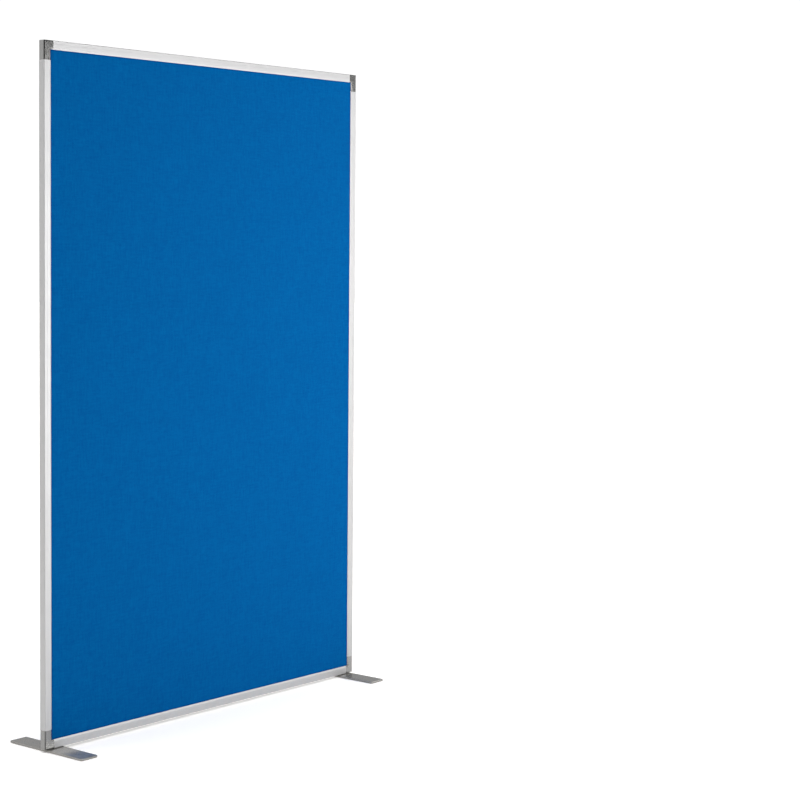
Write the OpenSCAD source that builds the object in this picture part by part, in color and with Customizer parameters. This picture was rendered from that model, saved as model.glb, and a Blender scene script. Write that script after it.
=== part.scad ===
// Free-standing partition wall: a felt-covered pin board in an aluminium frame with moulded
// corners, on two flat foot plates. Each plate hangs on one countersunk bolt and turns about it,
// crosswise for use and in line with the wall for storage.
// +X runs along the wall, the front faces -Y, +Z is up. The origin is on the floor, mid-wall.

/* [Wall] */
// Width of the framed panel
wall_w = 1200; // [600:50:1600]
// Height of the framed panel
wall_h = 1800; // [1000:50:2000]
// Thickness of the frame
wall_t = 21; // [19:0.5:24]

/* [Frame profile] */
// Width of the frame face, from the outer edge to the felt
face_w = 23; // [20:0.5:28]
// Width of the hollow chamber's tube, along the face
tube_w = 15; // [14:0.5:17]
// Wall thickness of the extrusion
wall = 1.4; // [1.2:0.1:1.8]
// Thickness of the two flanges over the board
flange_t = 1.5; // [1.2:0.1:1.8]
// Width of the bevelled inner lip that presses on the felt
lip_w = 4.5; // [3:0.5:5]
// How far the bevel drops below the face
lip_drop = 2.4; // [1.8:0.1:3]
// Thickness of the lip's tip
tip_t = 0.5; // [0.4:0.1:0.8]
// Radius of the profile's two outer edges
edge_r = 1.8; // [1:0.1:2.5]
// Distance of the shallow face line from the outer edge
line_at = 9.2; // [7:0.2:12]

/* [Corners] */
// Height of a corner cap's upright leg
cap_h = 50; // [40:1:60]
// Length of a corner cap's level leg
cap_w = 30; // [27:1:36]
// Radius of a corner cap's long outer edges
cap_r = 3.4; // [2.5:0.1:4]
// Length of a bracket's arm inside the upright profile
arm_up = 45; // [35:1:60]
// Length of a bracket's arm inside the level profile
arm_in = 56; // [50:1:70]

/* [Board] */
// Thickness of the felt
felt_t = 1.4; // [1:0.1:1.5]
// Thickness of each soft pin board
pin_t = 4.6; // [4:0.1:4.8]
// How far the board reaches into the profile, past the felt's visible edge
board_grip = 7; // [4:0.5:7.5]

/* [Feet] */
// Length of a foot plate, across the wall
foot_l = 280; // [240:5:360]
// Width of a foot plate
foot_w = 55; // [45:1:70]
// Thickness of a foot plate
foot_t = 5; // [5:0.5:8]
// Radius of a foot plate's corners
foot_r = 5; // [3:1:12]
// Chamfer round the foot plate's top and bottom edges
foot_chamfer = 0.6; // [0.2:0.1:1.5]
// Distance from the wall's end to the foot plate's outer edge
foot_inset = 8; // [8:1:12]
// Width of a glide pad, along the foot
pad_l = 30; // [20:1:40]
// Thickness of a glide pad
pad_t = 1; // [0.8:0.1:2]

/* [Foot bolts] */
// Shank diameter
bolt_d = 8; // [6:1:8]
// Length over the countersunk head
bolt_l = 16; // [15:1:18]
// Head diameter
head_d = 16; // [14:1:16]
// Hexagon socket, across flats
socket_af = 5; // [4:1:5]
// Diameter of the friction washer
washer_d = 20; // [18:1:21]
// Thickness of the friction washer
washer_t = 0.7; // [0.5:0.1:1]

/* [Hidden] */
$fn = 64;

run_gap = 0.08;                        // radial clearance of the foot plate round its bolt
rest_gap = 0.3;                        // clearance over the friction washer
sink_gap = 0.3;                        // clearance beside the countersunk head
head_rim = 0.3;                        // height of the head's straight edge
fit_gap = 0.1;                         // clearance of a bracket in its profile
half_t = wall_t / 2;
slot_half = half_t - lip_drop - tip_t; // half of the space between the lips
chamber_w = tube_w - 2 * wall;
chamber_half = half_t - wall;
core_t = 2 * (slot_half - felt_t - pin_t);
board_edge = face_w - board_grip;      // from the panel's outer edge to the board's edge
panel_z = pad_t + foot_t + washer_t + rest_gap;
plate_z = pad_t;
foot_x = wall_w / 2 - foot_inset - foot_w / 2;
pad_inset = 8;                         // from the foot plate's end to its glide pad
pad_margin = 5;                        // from the foot plate's side to its glide pad
thread_gap = 0.03;                     // between the bolt and its tapped hole
eps = 0.01;

// ---- frame ----

// A rectangle from x = 0, whose two corners at x = 0 are rounded
module edge_rounded(w, h, r) {
    translate([r, -h / 2])
        square([w - r, h]);
    translate([0, r - h / 2])
        square([2 * r, h - 2 * r]);
    for (side = [-1, 1])
        translate([r, side * (h / 2 - r)])
            circle(r);
}

// Outline of the two flanges and their bevelled lips, before the slot is cut between them
module flange_block() {
    polygon([
        [tube_w - wall, -half_t],
        [face_w - lip_w, -half_t],
        [face_w, lip_drop - half_t],
        [face_w, half_t - lip_drop],
        [face_w - lip_w, half_t],
        [tube_w - wall, half_t],
    ]);
}

// The slot for the board, which narrows towards the lips' tips
module slot_section() {
    tip_land = 0.4;
    slot_deep = half_t - flange_t;
    polygon([
        [tube_w, -slot_deep],
        [face_w - lip_w, -slot_deep],
        [face_w - tip_land, -slot_half],
        [face_w + 1, -slot_half],
        [face_w + 1, slot_half],
        [face_w - tip_land, slot_half],
        [face_w - lip_w, slot_deep],
        [tube_w, slot_deep],
    ]);
}

// Section of the extrusion: x from the panel's outer edge inwards, y through the thickness
module profile_section() {
    line_depth = 0.35;
    difference() {
        union() {
            edge_rounded(tube_w, wall_t, edge_r);
            flange_block();
        }
        translate([wall, -chamber_half])
            square([chamber_w, 2 * chamber_half]);
        slot_section();
        for (side = [-1, 1])
            translate([line_at, side * half_t])
                rotate(45)
                    square(line_depth * sqrt(2), center = true);
    }
}

module stile_at_left() {
    translate([-wall_w / 2, 0, panel_z + cap_h])
        linear_extrude(wall_h - 2 * cap_h)
            profile_section();
}

// A level profile with its outer edge down, from its lower edge at z = 0
module level_profile() {
    rotate([0, -90, 0])
        linear_extrude(wall_w - 2 * cap_w, center = true)
            profile_section();
}

module stile_left() {
    color("gainsboro")
        stile_at_left();
}

module stile_right() {
    color("gainsboro")
        mirror([1, 0, 0])
            stile_at_left();
}

module rail_top() {
    color("gainsboro")
        translate([0, 0, panel_z + wall_h])
            mirror([0, 0, 1])
                level_profile();
}

module rail_bottom() {
    bolt_hole_d = bolt_d + 1;
    color("gainsboro")
        difference() {
            translate([0, 0, panel_z])
                level_profile();
            for (side = [-1, 1])
                translate([side * foot_x, 0, panel_z - 1])
                    cylinder(h = wall + 2, d = bolt_hole_d);
        }
}

// ---- corners ----
// A corner is drawn for the lower left, with its outer edges on the planes x = 0 and z = 0.

// Front view of a cap
module cap_outline() {
    corner_r = 3;
    difference() {
        union() {
            square([cap_w, face_w]);
            square([face_w, cap_h]);
        }
        difference() {
            translate([-1, -1])
                square(corner_r + 1);
            translate([corner_r, corner_r])
                circle(corner_r);
        }
    }
}

// The solid bar that bevels one inner edge of a cap, along z from z = 0
module lip_cutter(length) {
    linear_extrude(length)
        polygon([
            [face_w - lip_w, -half_t],
            [face_w + eps, -half_t + lip_drop],
            [face_w + eps, -half_t - 1],
            [face_w - lip_w, -half_t - 1],
        ]);
}

// The board's slot and the bracket's chamber, which every cap has
module cap_hollow() {
    translate([tube_w, -slot_half, tube_w])
        cube([cap_w, 2 * slot_half, cap_h]);
    translate([wall, -chamber_half, wall])
        cube([cap_w, 2 * chamber_half, chamber_w]);
    translate([wall, -chamber_half, wall])
        cube([chamber_w, 2 * chamber_half, cap_h]);
}

module cap() {
    difference() {
        intersection() {
            rotate([90, 0, 0])
                linear_extrude(wall_t, center = true)
                    cap_outline();
            linear_extrude(cap_h)
                edge_rounded(cap_w, wall_t, cap_r);
            rotate([0, -90, 0])
                mirror([0, 0, 1])
                    linear_extrude(cap_w)
                        edge_rounded(cap_h, wall_t, cap_r);
        }
        cap_hollow();
        for (side = [0, 1])
            mirror([0, side, 0]) {
                translate([0, 0, face_w])
                    lip_cutter(cap_h);
                translate([face_w, 0, 0])
                    rotate([0, -90, 0])
                        mirror([0, 0, 1])
                            lip_cutter(cap_w);
            }
    }
}

// Cast angle whose arms fill the profiles' chambers; its level arm is tapped for a foot bolt
module bracket() {
    thick = chamber_w - 2 * fit_gap;
    half = chamber_half - fit_gap;
    low = wall + fit_gap;
    groove = 8;
    boss = 24;
    bolt_x = wall_w / 2 - foot_x;
    difference() {
        union() {
            translate([low, -half, low])
                cube([cap_w + arm_in - low, 2 * half, thick]);
            translate([low, -half, low])
                cube([thick, 2 * half, cap_h + arm_up - low]);
        }
        translate([low + thick - groove, -groove / 2, cap_h])
            cube([groove + 1, groove, arm_up - groove]);
        translate([bolt_x + boss / 2, -groove / 2, low + thick - groove])
            cube([cap_w + arm_in - groove - bolt_x - boss / 2, groove, groove + 1]);
        translate([bolt_x, 0, low - 1])
            cylinder(h = thick + 2, d = bolt_d + 2 * thread_gap);
    }
}

// Puts a lower-left corner piece at the corner given by right = 0 or 1 and top = 0 or 1
module at_corner(right, top) {
    translate([0, 0, panel_z + top * wall_h])
        mirror([0, 0, top])
            mirror([right, 0, 0])
                translate([-wall_w / 2, 0, 0])
                    children();
}

module corner_cap_bottom_left() { color("gray") at_corner(0, 0) cap(); }
module corner_cap_bottom_right() { color("gray") at_corner(1, 0) cap(); }
module corner_cap_top_left() { color("gray") at_corner(0, 1) cap(); }
module corner_cap_top_right() { color("gray") at_corner(1, 1) cap(); }
module corner_bracket_bottom_left() { color("darkgray") at_corner(0, 0) bracket(); }
module corner_bracket_bottom_right() { color("darkgray") at_corner(1, 0) bracket(); }
module corner_bracket_top_left() { color("darkgray") at_corner(0, 1) bracket(); }
module corner_bracket_top_right() { color("darkgray") at_corner(1, 1) bracket(); }

// ---- board ----

// One layer of the board, whose front is at y = y0
module board_layer(y0, t) {
    translate([board_edge - wall_w / 2, y0, panel_z + board_edge])
        cube([wall_w - 2 * board_edge, t, wall_h - 2 * board_edge]);
}

module felt_front() {
    color("mediumblue")
        board_layer(-slot_half, felt_t);
}

module felt_back() {
    color("mediumblue")
        board_layer(slot_half - felt_t, felt_t);
}

module pin_board_front() {
    color("tan")
        board_layer(-slot_half + felt_t, pin_t);
}

module pin_board_back() {
    color("tan")
        board_layer(slot_half - felt_t - pin_t, pin_t);
}

module core_board() {
    color("peru")
        board_layer(-core_t / 2, core_t);
}

// ---- feet ----
// Foot pieces are drawn round the bolt's axis and then moved to the left or the right foot.

// Section across a plate of width w, its four long edges chamfered
module chamfered_section(w) {
    c = foot_chamfer;
    polygon([
        [c - w / 2, 0],
        [w / 2 - c, 0],
        [w / 2, c],
        [w / 2, foot_t - c],
        [w / 2 - c, foot_t],
        [c - w / 2, foot_t],
        [-w / 2, foot_t - c],
        [-w / 2, c],
    ]);
}

// A round corner of the plate, chamfered at both edges
module plate_corner() {
    c = foot_chamfer;
    cylinder(h = c, r1 = foot_r - c, r2 = foot_r);
    translate([0, 0, c])
        cylinder(h = foot_t - 2 * c, r = foot_r);
    translate([0, 0, foot_t - c])
        cylinder(h = c, r1 = foot_r, r2 = foot_r - c);
}

// The plate without its hole, centred on the bolt's axis, from z = 0
module plate_blank() {
    rotate([90, 0, 0])
        linear_extrude(foot_l - 2 * foot_r, center = true)
            chamfered_section(foot_w);
    rotate([90, 0, 90])
        linear_extrude(foot_w - 2 * foot_r, center = true)
            chamfered_section(foot_l);
    for (sx = [-1, 1], sy = [-1, 1])
        translate([sx * (foot_w / 2 - foot_r), sy * (foot_l / 2 - foot_r), 0])
            plate_corner();
}

module foot_plate() {
    hole_d = bolt_d + 2 * run_gap;
    sink_d = head_d + 2 * head_rim + 2 * sink_gap;
    translate([0, 0, plate_z])
        difference() {
            plate_blank();
            translate([0, 0, -1])
                cylinder(h = foot_t + 2, d = hole_d);
            translate([0, 0, -eps])
                cylinder(h = (sink_d - hole_d) / 2, d1 = sink_d, d2 = hole_d);
        }
}

// Countersunk bolt, its head flush with the plate's underside
module foot_bolt() {
    socket_depth = 3;
    translate([0, 0, plate_z])
        difference() {
            union() {
                cylinder(h = head_rim, d = head_d);
                translate([0, 0, head_rim])
                    cylinder(h = (head_d - bolt_d) / 2, d1 = head_d, d2 = bolt_d);
                cylinder(h = bolt_l, d = bolt_d);
            }
            translate([0, 0, -1])
                cylinder(h = socket_depth + 1, d = socket_af / cos(30), $fn = 6);
        }
}

module friction_washer() {
    translate([0, 0, plate_z + foot_t])
        difference() {
            cylinder(h = washer_t, d = washer_d);
            translate([0, 0, -1])
                cylinder(h = washer_t + 2, d = bolt_d + 2 * run_gap);
        }
}

module glide_pads() {
    for (side = [-1, 1])
        translate([0, side * (foot_l / 2 - pad_inset - pad_l / 2), pad_t / 2])
            cube([foot_w - 2 * pad_margin, pad_l, pad_t], center = true);
}

module foot_plate_left() { color("silver") translate([-foot_x, 0, 0]) foot_plate(); }
module foot_plate_right() { color("silver") translate([foot_x, 0, 0]) foot_plate(); }
module foot_bolt_left() { color("dimgray") translate([-foot_x, 0, 0]) foot_bolt(); }
module foot_bolt_right() { color("dimgray") translate([foot_x, 0, 0]) foot_bolt(); }
module friction_washer_left() { color("black") translate([-foot_x, 0, 0]) friction_washer(); }
module friction_washer_right() { color("black") translate([foot_x, 0, 0]) friction_washer(); }
module glide_pads_left() { color("black") translate([-foot_x, 0, 0]) glide_pads(); }
module glide_pads_right() { color("black") translate([foot_x, 0, 0]) glide_pads(); }

stile_left();
stile_right();
rail_top();
rail_bottom();
corner_cap_bottom_left();
corner_cap_bottom_right();
corner_cap_top_left();
corner_cap_top_right();
corner_bracket_bottom_left();
corner_bracket_bottom_right();
corner_bracket_top_left();
corner_bracket_top_right();
felt_front();
felt_back();
pin_board_front();
pin_board_back();
core_board();
foot_plate_left();
foot_plate_right();
foot_bolt_left();
foot_bolt_right();
friction_washer_left();
friction_washer_right();
glide_pads_left();
glide_pads_right();
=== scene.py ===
"""Looks for a free-standing partition wall: two felt sheets, satin aluminium profiles, grey corner
caps and coated foot plates, in a plain white studio. Lengths are metres in the part's own frame:
+X along the wall, the front faces -Y, +Z up, the origin on the floor under mid-wall."""

import math
import random

import bpy
from mathutils import Matrix, Vector


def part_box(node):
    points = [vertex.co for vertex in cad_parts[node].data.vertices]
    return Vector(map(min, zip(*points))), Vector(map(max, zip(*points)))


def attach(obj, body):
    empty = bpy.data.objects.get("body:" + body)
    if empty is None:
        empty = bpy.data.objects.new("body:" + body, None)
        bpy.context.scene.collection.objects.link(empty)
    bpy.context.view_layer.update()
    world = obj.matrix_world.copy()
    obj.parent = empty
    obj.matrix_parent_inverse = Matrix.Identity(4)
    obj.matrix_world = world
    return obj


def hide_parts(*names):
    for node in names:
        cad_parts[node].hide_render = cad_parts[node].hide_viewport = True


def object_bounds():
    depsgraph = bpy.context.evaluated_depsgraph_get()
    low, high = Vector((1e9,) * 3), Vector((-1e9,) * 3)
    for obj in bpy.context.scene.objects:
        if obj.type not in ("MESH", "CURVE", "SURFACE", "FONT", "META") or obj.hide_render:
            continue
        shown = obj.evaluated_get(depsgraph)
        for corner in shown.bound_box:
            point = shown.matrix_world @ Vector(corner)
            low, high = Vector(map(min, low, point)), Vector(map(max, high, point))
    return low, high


MM = 0.001
SEED = 7

# ---- camera ----
CAMERA_PLACE = Vector((-3.744, -3.731, 1.294))
CAMERA_YAW = 50.79            # degrees to the right of +Y
CAMERA_PITCH = -2.90          # degrees above the horizon
CAMERA_ROLL = 0.45            # degrees
CAMERA_LENS = 85.64           # mm
CAMERA_SENSOR = 36            # mm
CAMERA_RISE = -0.07           # lens shift, in frame widths
CAMERA_NEAR = 0.1
CAMERA_FAR = 200

# ---- shape of the felt sheets ----
FELT_CELL = 12 * MM           # cell of the mesh in the open field
FELT_STOPS = (0, 0.7, 1.5, 2.5, 4, 6, 9, 14, 20)    # mm from a lip to the grid lines beside it
FELT_CROWN = 0.35 * MM        # how far the nap swells past the lip that holds it
FELT_ROLL = 2.2 * MM          # how quickly it swells
FELT_UNDER_LIP = 0.02 * MM    # clearance under the lip
FELT_WAVE = 0.10 * MM         # height of the slow waves in the glued sheet
FELT_WAVE_LENGTHS = (0.62, 0.41, 0.27, 0.19, 0.13)
FELT_WAVE_START = 60 * MM     # the waves reach their full height this far from the lips

# ---- felt ----
FELT_BLUE = (0.0004, 0.0905, 0.180)     # the part of the dye that varies from fibre to fibre
FELT_BASE_BLUE = (0.0, 0.0, 0.115)      # the part that is the same all over
THREAD_PITCH = 1.3 * MM
THREAD_WANDER = 0.35          # how far a thread strays, in pitches
FELT_RELIEF = 0.18 * MM
FELT_LIP_SHADE_WIDTH = 5 * MM         # strip beside the lips where the felt is darkened by painted shade, the lips' shadow
# how much the painted shade beside the lips darkens the felt
FELT_LIP_SHADE_DEPTH = 0.42

# ---- other finishes, as linear colours ----
ALUMINIUM = (0.525, 0.525, 0.53)
CAP_GREY = (0.28, 0.28, 0.276)
CAP_EDGE_PAINTED_DARK = 0.65       # how much darker the rounded upright edges of the caps are painted, a painted dark reflection
FOOT_GREY = (0.300, 0.292, 0.276)
CASTING_GREY = (0.50, 0.50, 0.51)
ZINC_GREY = (0.42, 0.42, 0.43)
PIN_BOARD_TAN = (0.42, 0.27, 0.14)
HARDBOARD_BROWN = (0.15, 0.075, 0.035)
NYLON_BLACK = (0.035, 0.035, 0.037)
RUBBER_BLACK = (0.022, 0.022, 0.022)
FINE_RELIEF = 0.02 * MM       # depth of die lines and orange peel
GRAIN_RELIEF = 0.03 * MM
POLYMER_RELIEF = 0.04 * MM
CASTING_RELIEF = 0.08 * MM
FIBRE_RELIEF = 0.15 * MM

# ---- studio: name, place, aim, size and power of each softbox ----
SOFTBOXES = (
    ("key", (0.9, -2.7, 1.35), (0.3, 0, 1.15), (1.3, 1.2), 41),
    ("side", (3.42, -1.12, 1.75), (0.3, 0, 1.1), (1.6, 1.6), 28),
    ("low", (1.6, -3.0, 0.6), (0.2, 0, 0.3), (1.6, 0.8), 12.5),
)
OVERHEAD_STRENGTH = 2.7
OVERHEAD_SPREAD = 60          # degrees across
WORLD_LOBES = (((0, 1, 0), 0.60), ((-0.775, 0.632, 0), 0.80))    # direction and strength
WORLD_LOBE_FULL = 0.9         # cosine to a lobe's direction at which it has its full strength
BACKGROUND_WHITE = 1.05
FLOOR_HALF = 30
FLOOR_WHITE = (0.92, 0.905, 0.885)
FLOOR_GLOW = 0.10             # what the floor gives off, as a light table does
FLOOR_LIFT = 0.14             # added to that in the picture only, so that it comes out white


# ---- node helpers ----

def add(tree, kind, values=(), **settings):
    """A new node of that kind, with its settings and the default values of named inputs."""
    node = tree.nodes.new("ShaderNode" + kind)
    for key, value in settings.items():
        setattr(node, key, value)
    for key, value in dict(values).items():
        node.inputs[key].default_value = value
    return node


def feed(tree, source, target):
    """Links an output to an input, or sets the input if the source is a number."""
    if isinstance(source, (int, float)):
        target.default_value = source
    else:
        tree.links.new(source, target)


def calc(tree, operation, first, second=0.0, third=0.0):
    """The output of a Math node."""
    node = add(tree, "Math", operation=operation)
    for source, target in zip((first, second, third), node.inputs):
        feed(tree, source, target)
    return node.outputs[0]


def place(tree, scale=(1, 1, 1)):
    """The point on the object in metres, scaled along each axis."""
    coords = add(tree, "TexCoord")
    mapping = add(tree, "Mapping", {"Scale": scale})
    tree.links.new(coords.outputs["Object"], mapping.inputs["Vector"])
    return mapping.outputs[0]


def noise(tree, scale, detail=2.0, roughness=0.5):
    """Noise from 0 to 1 about 0.5; scale is its cells to the metre along X, Y and Z."""
    node = add(tree, "TexNoise", {"Scale": 1.0, "Detail": detail, "Roughness": roughness})
    tree.links.new(place(tree, scale), node.inputs["Vector"])
    return node.outputs["Fac"]


def swing(tree, source, amount):
    """Source, from 0 to 1, as a number that swings by amount to each side of 0."""
    return calc(tree, "MULTIPLY_ADD", source, 2 * amount, -amount)


def total(tree, *sources):
    """The sum of several numbers."""
    result = sources[0]
    for source in sources[1:]:
        result = calc(tree, "ADD", result, source)
    return result


def tinted(tree, colour, factor, steady=(0, 0, 0)):
    """A colour multiplied by a number that varies over the surface, plus one that doesn't vary."""
    node = add(tree, "VectorMath", operation="MULTIPLY_ADD")
    tree.links.new(factor, node.inputs[0])
    node.inputs[1].default_value = colour
    node.inputs[2].default_value = steady
    return node.outputs[0]


def bump(tree, height, distance, strength=1.0):
    """A normal from a height that swings about 0, where 1 stands for distance."""
    node = add(tree, "Bump", {"Strength": strength, "Distance": distance})
    tree.links.new(height, node.inputs["Height"])
    return node.outputs[0]


def new_material(name, **constants):
    """A material with one Principled shader, whose constant sockets are set by keyword."""
    material = bpy.data.materials.new(name)
    material.use_nodes = True
    tree = material.node_tree
    shader = tree.nodes["Principled BSDF"]
    for key, value in constants.items():
        shader.inputs[key.replace("_", " ")].default_value = value
    return material, tree, shader.inputs


# ---- materials ----

def thread_wave(tree, axis, pitch):
    """A sine across the threads along one axis of the object, slightly wandering."""
    split = add(tree, "SeparateXYZ")
    tree.links.new(place(tree), split.inputs[0])
    wander = swing(tree, noise(tree, (90, 90, 90), 1.0), THREAD_WANDER * pitch)
    along = calc(tree, "ADD", split.outputs[axis], wander)
    return calc(tree, "SINE", calc(tree, "MULTIPLY", along, 2 * math.pi / pitch))


def painted_lip_shade(tree):
    """1 on the felt right beside the frame's lips, falling to 0 over the strip: the mask of the
    painted shade that stands for the lips' shadow.
    """
    lip_x = -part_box("stile_left")[1].x
    lip_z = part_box("rail_bottom")[1].z
    middle = (lip_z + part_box("rail_top")[0].z) / 2
    split = add(tree, "SeparateXYZ")
    tree.links.new(place(tree), split.inputs[0])
    strips = []
    for axis, centre, edge in ((0, 0, lip_x), (2, middle, middle - lip_z)):
        away = calc(tree, "ABSOLUTE", calc(tree, "SUBTRACT", split.outputs[axis], centre))
        strip = add(tree, "MapRange", {"From Min": edge - FELT_LIP_SHADE_WIDTH, "From Max": edge},
                    interpolation_type="SMOOTHSTEP")
        tree.links.new(away, strip.inputs["Value"])
        strips.append(strip.outputs[0])
    return calc(tree, "MAXIMUM", *strips)


def woven_felt():
    """Fulled wool-like cloth: a plain weave seen through its nap, with slubs and mottling, and
    painted shade beside the frame's lips.
    """
    material, tree, inputs = new_material(
        "woven_felt", Roughness=0.92, Specular_IOR_Level=0.03, Specular_Tint=(0.1, 0.4, 1.0, 1.0),
        Sheen_Weight=0.08, Sheen_Roughness=0.45, Sheen_Tint=(0.0, 0.22, 0.9, 1.0))
    weave = calc(tree, "MULTIPLY", thread_wave(tree, 0, THREAD_PITCH),
                 thread_wave(tree, 2, THREAD_PITCH))
    weft = noise(tree, (50, 60, 240), 1.5, 0.5)
    warp = noise(tree, (240, 60, 45), 1.5, 0.5)
    fibre = noise(tree, (1500, 1500, 1500), 2.0, 0.7)
    mottle = noise(tree, (140, 140, 140), 2.0, 0.6)
    cloud = noise(tree, (5, 5, 5), 2.0)
    shade = total(tree, 1.0, swing(tree, weft, 0.19), swing(tree, warp, 0.19),
                  swing(tree, mottle, 0.08), swing(tree, cloud, 0.02),
                  swing(tree, fibre, 0.24), calc(tree, "MULTIPLY", weave, 0.11),
                  # painted shade: the felt darkened beside the frame's lips, where their shadow
                  # falls
                  calc(tree, "MULTIPLY", painted_lip_shade(tree), -FELT_LIP_SHADE_DEPTH))
    feed(tree, tinted(tree, FELT_BLUE, shade, FELT_BASE_BLUE), inputs["Base Color"])
    height = total(tree, calc(tree, "MULTIPLY", weave, 0.6), swing(tree, weft, 0.6),
                   swing(tree, warp, 0.6), swing(tree, fibre, 0.8))
    feed(tree, bump(tree, height, FELT_RELIEF, 0.8), inputs["Normal"])
    return material


def satin_aluminium(name, along):
    """Anodised extrusion, with fine die lines along the given axis and faint clouding."""
    material, tree, inputs = new_material(name, Metallic=1.0)
    line_scale = [1400, 1400, 1400]
    line_scale[along] = 3
    lines = noise(tree, line_scale, 2.0, 0.6)
    cloud = noise(tree, (14, 14, 14), 3.0)
    speck = noise(tree, (2600, 2600, 2600), 1.0)
    shade = total(tree, 1.0, swing(tree, lines, 0.05), swing(tree, cloud, 0.025))
    feed(tree, tinted(tree, ALUMINIUM, shade), inputs["Base Color"])
    rough = total(tree, 0.60, swing(tree, lines, 0.08), swing(tree, cloud, 0.05))
    feed(tree, rough, inputs["Roughness"])
    height = total(tree, swing(tree, lines, 1.0), swing(tree, speck, 0.5))
    feed(tree, bump(tree, height, FINE_RELIEF, 0.5), inputs["Normal"])
    return material


def outer_rounding(tree):
    """1 in the middle of the wall's rounded upright edges, 0 on the flat faces beside them; the
    mask of the caps' painted dark reflection.
    """
    coords = add(tree, "TexCoord")
    normal = add(tree, "SeparateXYZ")
    point = add(tree, "SeparateXYZ")
    tree.links.new(coords.outputs["Normal"], normal.inputs[0])
    tree.links.new(coords.outputs["Object"], point.inputs[0])
    outward = calc(tree, "MULTIPLY", normal.outputs[0], calc(tree, "SIGN", point.outputs[0]))
    sideways = calc(tree, "ABSOLUTE", normal.outputs[1])
    turned = calc(tree, "MULTIPLY", calc(tree, "MULTIPLY", outward, sideways), 2.0)
    return calc(tree, "MAXIMUM", turned, 0.0)


def cap_grey():
    """Satin metallic grey of the moulded corner caps, with a fine sparked texture and a painted
    dark reflection on their rounded upright edges.
    """
    material, tree, inputs = new_material("cap_grey", Metallic=0.85)
    grain = noise(tree, (2200, 2200, 2200), 2.0, 0.6)
    cloud = noise(tree, (35, 35, 35), 2.0)
    shade = total(tree, 1.0, swing(tree, grain, 0.08), swing(tree, cloud, 0.05),
                  # painted dark reflection: the rounded upright edges darkened in the base colour
                  calc(tree, "MULTIPLY", outer_rounding(tree), -CAP_EDGE_PAINTED_DARK))
    feed(tree, tinted(tree, CAP_GREY, shade), inputs["Base Color"])
    rough = total(tree, 0.19, swing(tree, cloud, 0.04), swing(tree, grain, 0.04))
    feed(tree, rough, inputs["Roughness"])
    feed(tree, bump(tree, swing(tree, grain, 1.0), GRAIN_RELIEF, 0.5), inputs["Normal"])
    return material


def foot_grey():
    """Satin grey coating of the foot plates, with a fine orange-peel and rubbed patches."""
    material, tree, inputs = new_material("foot_grey", Metallic=0.5, Specular_IOR_Level=0.3)
    peel = noise(tree, (700, 700, 700), 2.0, 0.5)
    patch = noise(tree, (30, 18, 30), 3.0)
    speck = noise(tree, (3000, 3000, 3000), 1.0)
    shade = total(tree, 1.0, swing(tree, speck, 0.10), swing(tree, patch, 0.06))
    feed(tree, tinted(tree, FOOT_GREY, shade), inputs["Base Color"])
    rough = total(tree, 0.18, swing(tree, peel, 0.03), swing(tree, patch, 0.04))
    feed(tree, rough, inputs["Roughness"])
    height = total(tree, swing(tree, peel, 1.0), swing(tree, speck, 0.2))
    feed(tree, bump(tree, height, FINE_RELIEF, 0.5), inputs["Normal"])
    return material


def cast_metal():
    """Sand-grey skin of a pressure casting."""
    material, tree, inputs = new_material("cast_metal", Metallic=0.9)
    grain = noise(tree, (900, 900, 900), 4.0, 0.65)
    flow = noise(tree, (60, 60, 60), 3.0)
    shade = total(tree, 1.0, swing(tree, grain, 0.15), swing(tree, flow, 0.10))
    feed(tree, tinted(tree, CASTING_GREY, shade), inputs["Base Color"])
    feed(tree, total(tree, 0.55, swing(tree, grain, 0.15)), inputs["Roughness"])
    feed(tree, bump(tree, swing(tree, grain, 1.0), CASTING_RELIEF, 0.6), inputs["Normal"])
    return material


def zinc_steel():
    """Zinc-plated bolt."""
    material, tree, inputs = new_material("zinc_steel", Metallic=1.0)
    turn = noise(tree, (300, 300, 2500), 2.0)
    bloom = noise(tree, (400, 400, 400), 3.0)
    shade = total(tree, 1.0, swing(tree, turn, 0.06), swing(tree, bloom, 0.12))
    feed(tree, tinted(tree, ZINC_GREY, shade), inputs["Base Color"])
    feed(tree, total(tree, 0.36, swing(tree, bloom, 0.12)), inputs["Roughness"])
    feed(tree, bump(tree, swing(tree, turn, 1.0), FINE_RELIEF, 0.5), inputs["Normal"])
    return material


def fibre_board(name, colour, strand):
    """Pressed wood fibre, pale and open for the pin boards or dark and dense for the core."""
    material, tree, inputs = new_material(name, Specular_IOR_Level=0.2)
    long_fibre = noise(tree, (strand, strand, strand / 6), 4.0, 0.7)
    cross_fibre = noise(tree, (strand / 6, strand, strand), 4.0, 0.7)
    chips = noise(tree, (strand / 4, strand / 4, strand / 4), 3.0)
    shade = total(tree, 1.0, swing(tree, long_fibre, 0.25), swing(tree, cross_fibre, 0.25),
                  swing(tree, chips, 0.15))
    feed(tree, tinted(tree, colour, shade), inputs["Base Color"])
    feed(tree, total(tree, 0.85, swing(tree, chips, 0.1)), inputs["Roughness"])
    height = total(tree, swing(tree, long_fibre, 1.0), swing(tree, cross_fibre, 1.0))
    feed(tree, bump(tree, height, FIBRE_RELIEF, 0.7), inputs["Normal"])
    return material


def dark_polymer(name, colour, roughness, grain_scale):
    """Moulded nylon or rubber: nearly black, finely grained, slightly dusty."""
    material, tree, inputs = new_material(name, Specular_IOR_Level=0.4)
    grain = noise(tree, (grain_scale, grain_scale, grain_scale), 3.0, 0.6)
    dust = noise(tree, (80, 80, 80), 4.0)
    shade = total(tree, 1.0, swing(tree, grain, 0.2), swing(tree, dust, 0.4))
    feed(tree, tinted(tree, colour, shade), inputs["Base Color"])
    feed(tree, total(tree, roughness, swing(tree, dust, 0.12)), inputs["Roughness"])
    feed(tree, bump(tree, swing(tree, grain, 1.0), POLYMER_RELIEF, 0.6), inputs["Normal"])
    return material


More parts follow.
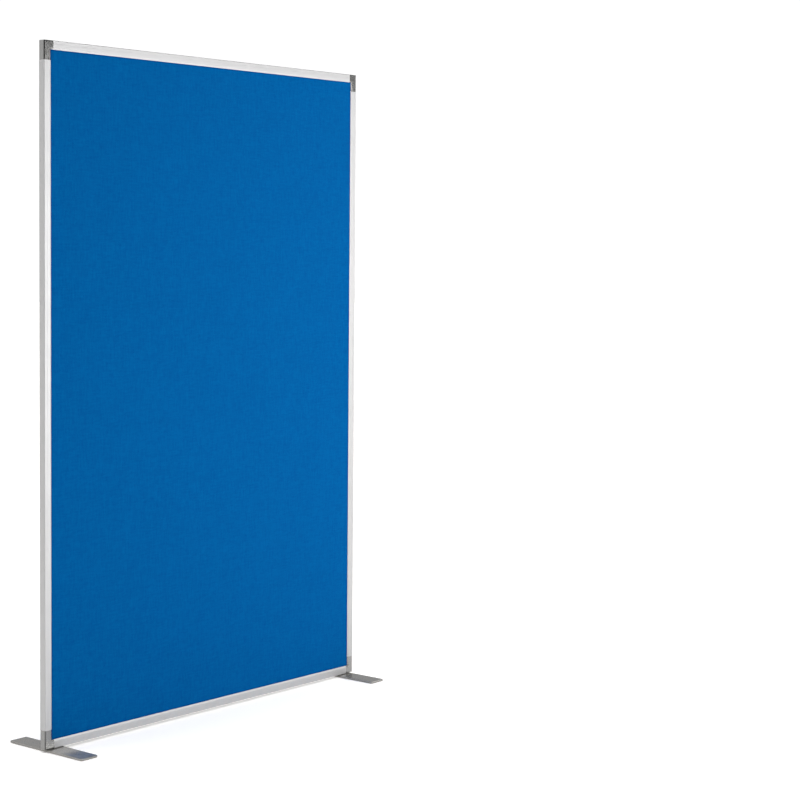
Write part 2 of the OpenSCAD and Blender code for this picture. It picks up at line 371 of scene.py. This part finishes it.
def studio_floor():
    """Matt white paper, lit a little from below as a light table is."""
    material, tree, inputs = new_material(
        "studio_floor", Specular_IOR_Level=0.1, Emission_Color=(1, 1, 1, 1))
    tone = noise(tree, (3, 3, 3), 2.0)
    shade = total(tree, 1.0, swing(tree, tone, 0.01))
    feed(tree, tinted(tree, FLOOR_WHITE, shade), inputs["Base Color"])
    feed(tree, total(tree, 0.9, swing(tree, tone, 0.03)), inputs["Roughness"])
    seen = add(tree, "LightPath").outputs["Is Camera Ray"]
    glow = calc(tree, "MULTIPLY_ADD", seen, FLOOR_LIFT, FLOOR_GLOW)
    feed(tree, glow, inputs["Emission Strength"])
    return material


# ---- the felt sheets ----

def stops(low, high, lip):
    """Grid lines from low to high: close together just inside the lips and even between them."""
    first = [lip + stop * MM for stop in FELT_STOPS]
    last = [low + high - line for line in reversed(first)]
    count = round((last[0] - first[-1]) / FELT_CELL)
    step = (last[0] - first[-1]) / count
    middle = [first[-1] + i * step for i in range(1, count)]
    return [low] + first + middle + last + [high]


def slow_waves(chance):
    """A function of x and z that sums a few slow sines, from about -1 to 1."""
    waves = []
    for length in FELT_WAVE_LENGTHS:
        turn = chance.uniform(0, math.pi)
        number = 2 * math.pi / length
        waves.append((number * math.cos(turn), number * math.sin(turn),
                      chance.uniform(0, 2 * math.pi), length))
    weight = sum(wave[3] for wave in waves)
    return lambda x, z: sum(
        part * math.sin(a * x + b * z + phase) for a, b, phase, part in waves) / weight


def smooth_step(t):
    """An even rise from 0 at t = 0 to 1 at t = 1, level at both ends."""
    t = min(1.0, max(0.0, t))
    return t * t * (3 - 2 * t)


def felt_sheet(name, node, side, waves):
    """The felt over one face, a closed sheet that swells where it leaves the frame's lip.
    Side is -1 at the front and 1 at the back."""
    low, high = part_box(node)
    lip_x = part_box("stile_left")[1].x
    lip_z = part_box("rail_bottom")[1].z
    xs = stops(low.x, high.x, lip_x)
    zs = stops(low.z, high.z, lip_z)
    outer = high.y if side > 0 else low.y
    inner = low.y if side > 0 else high.y

    def surface(x, z):
        inside = min(x - lip_x, -lip_x - x, z - lip_z, low.z + high.z - lip_z - z)
        if inside <= 0:
            return outer - side * FELT_UNDER_LIP
        swell = FELT_CROWN * (1 - math.exp(-inside / FELT_ROLL))
        wave = FELT_WAVE * waves(x, z) * smooth_step(inside / FELT_WAVE_START)
        return outer + side * (swell + wave)

    vertices = [(x, surface(x, z), z) for z in zs for x in xs]
    vertices += [(x, inner, z) for z in zs for x in xs]
    faces = sheet_faces(len(xs), len(zs), side)
    mesh = bpy.data.meshes.new(name)
    mesh.from_pydata(vertices, [], faces)
    mesh.polygons.foreach_set("use_smooth", [True] * len(faces))
    mesh.validate()
    sheet = bpy.data.objects.new(name, mesh)
    bpy.context.scene.collection.objects.link(sheet)
    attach(sheet, "wall")
    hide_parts(node)
    return sheet


def sheet_faces(columns, rows, side):
    """Quads of a closed slab: the outer grid, then the inner one, then the rim between them."""
    count = columns * rows
    faces = []

    def quad(a, b, c, d):
        faces.append((a, b, c, d) if side < 0 else (d, c, b, a))

    for row in range(rows - 1):
        for column in range(columns - 1):
            corner = row * columns + column
            ring = (corner, corner + 1, corner + columns + 1, corner + columns)
            quad(*ring)
            quad(*(count + index for index in reversed(ring)))
    rim = list(range(columns))
    rim += [row * columns + columns - 1 for row in range(1, rows)]
    rim += [(rows - 1) * columns + column for column in range(columns - 2, -1, -1)]
    rim += [row * columns for row in range(rows - 2, 0, -1)]
    for here, there in zip(rim, rim[1:] + rim[:1]):
        quad(there, here, count + here, count + there)
    return faces


# ---- the CAD nodes' finishes ----

def dress(nodes):
    """Gives each CAD node its material."""
    upright = satin_aluminium("aluminium_upright", 2)
    level = satin_aluminium("aluminium_level", 0)
    pin_board = fibre_board("pin_board", PIN_BOARD_TAN, 500)
    hardboard = fibre_board("hardboard", HARDBOARD_BROWN, 900)
    washer = dark_polymer("washer_nylon", NYLON_BLACK, 0.42, 1500)
    rubber = dark_polymer("glide_rubber", RUBBER_BLACK, 0.75, 700)
    finishes = {
        "stile": upright, "rail": level, "corner_cap": cap_grey(),
        "corner_bracket": cast_metal(), "pin_board": pin_board, "core_board": hardboard,
        "foot_plate": foot_grey(), "foot_bolt": zinc_steel(), "friction_washer": washer,
        "glide_pads": rubber,
    }
    for name, node in nodes.items():
        for stem, material in finishes.items():
            if name.startswith(stem):
                node.data.materials.clear()
                node.data.materials.append(material)


# ---- studio ----

def studio_world():
    """Plain white behind the object. What lights it and shows in its metal is a white cove
    behind and to the left, and a dark room on the camera's side."""
    world = bpy.data.worlds.new("studio")
    bpy.context.scene.world = world
    world.use_nodes = True
    tree = world.node_tree
    tree.nodes.clear()
    coords = add(tree, "TexCoord")
    lobes = []
    for towards, strength in WORLD_LOBES:
        facing = add(tree, "VectorMath", operation="DOT_PRODUCT")
        facing.inputs[1].default_value = towards
        tree.links.new(coords.outputs["Generated"], facing.inputs[0])
        spread = add(tree, "MapRange", {"From Max": WORLD_LOBE_FULL, "To Max": strength},
                     interpolation_type="SMOOTHSTEP")
        tree.links.new(facing.outputs["Value"], spread.inputs["Value"])
        lobes.append(spread.outputs[0])
    around = add(tree, "Background")
    tree.links.new(total(tree, *lobes), around.inputs["Strength"])
    behind = add(tree, "Background", {"Color": (1, 1, 1, 1), "Strength": BACKGROUND_WHITE})
    path = add(tree, "LightPath")
    mix = add(tree, "MixShader")
    tree.links.new(path.outputs["Is Camera Ray"], mix.inputs[0])
    tree.links.new(around.outputs[0], mix.inputs[1])
    tree.links.new(behind.outputs[0], mix.inputs[2])
    output = add(tree, "OutputWorld")
    tree.links.new(mix.outputs[0], output.inputs["Surface"])


def softbox(name, place_at, aim, size, power):
    """A rectangular area light at one point, turned to another."""
    data = bpy.data.lights.new(name, "AREA")
    data.shape = "RECTANGLE"
    data.size, data.size_y = size
    data.energy = power
    lamp = bpy.data.objects.new(name, data)
    bpy.context.scene.collection.objects.link(lamp)
    lamp.location = place_at
    lamp.rotation_euler = (Vector(aim) - Vector(place_at)).to_track_quat("-Z", "Y").to_euler()


def studio_lights():
    """Three softboxes at the front right, and a broad light straight overhead that keeps the
    floor white out to the horizon."""
    for name, place_at, aim, size, power in SOFTBOXES:
        softbox(name, place_at, aim, size, power)
    data = bpy.data.lights.new("overhead", "SUN")
    data.energy = OVERHEAD_STRENGTH
    data.angle = math.radians(OVERHEAD_SPREAD)
    lamp = bpy.data.objects.new("overhead", data)
    bpy.context.scene.collection.objects.link(lamp)


def studio_ground(height):
    """The floor, a wide square at that height."""
    mesh = bpy.data.meshes.new("floor")
    signs = ((-1, -1), (1, -1), (1, 1), (-1, 1))
    corners = [(x * FLOOR_HALF, y * FLOOR_HALF, height) for x, y in signs]
    mesh.from_pydata(corners, [], [(0, 1, 2, 3)])
    ground = bpy.data.objects.new("floor", mesh)
    bpy.context.scene.collection.objects.link(ground)
    mesh.materials.append(studio_floor())


def camera():
    """The photograph's camera."""
    data = bpy.data.cameras.new("camera")
    data.lens = CAMERA_LENS
    data.sensor_width = CAMERA_SENSOR
    data.shift_y = CAMERA_RISE
    data.clip_start = CAMERA_NEAR
    data.clip_end = CAMERA_FAR
    view = bpy.data.objects.new("camera", data)
    bpy.context.scene.collection.objects.link(view)
    aim = (Matrix.Rotation(math.radians(-CAMERA_YAW), 4, "Z")
           @ Matrix.Rotation(math.radians(90 + CAMERA_PITCH), 4, "X")
           @ Matrix.Rotation(math.radians(CAMERA_ROLL), 4, "Z"))
    view.matrix_world = Matrix.Translation(CAMERA_PLACE) @ aim
    bpy.context.scene.camera = view


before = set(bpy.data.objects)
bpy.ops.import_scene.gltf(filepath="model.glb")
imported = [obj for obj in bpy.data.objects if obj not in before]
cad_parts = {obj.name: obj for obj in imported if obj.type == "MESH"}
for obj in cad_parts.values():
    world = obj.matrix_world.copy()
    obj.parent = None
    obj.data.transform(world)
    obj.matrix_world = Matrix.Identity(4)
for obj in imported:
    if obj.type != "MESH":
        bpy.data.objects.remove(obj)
cad_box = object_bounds()
camera()

chance = random.Random(SEED)
felt = woven_felt()
for name, node, side in (("felt_front_sheet", "felt_front", -1),
                         ("felt_back_sheet", "felt_back", 1)):
    piece = felt_sheet(name, node, side, slow_waves(chance))
    piece.data.materials.append(felt)
dress(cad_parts)

studio_world()
studio_lights()
studio_ground(cad_box[0].z)
bpy.context.scene.view_settings.view_transform = "Standard"
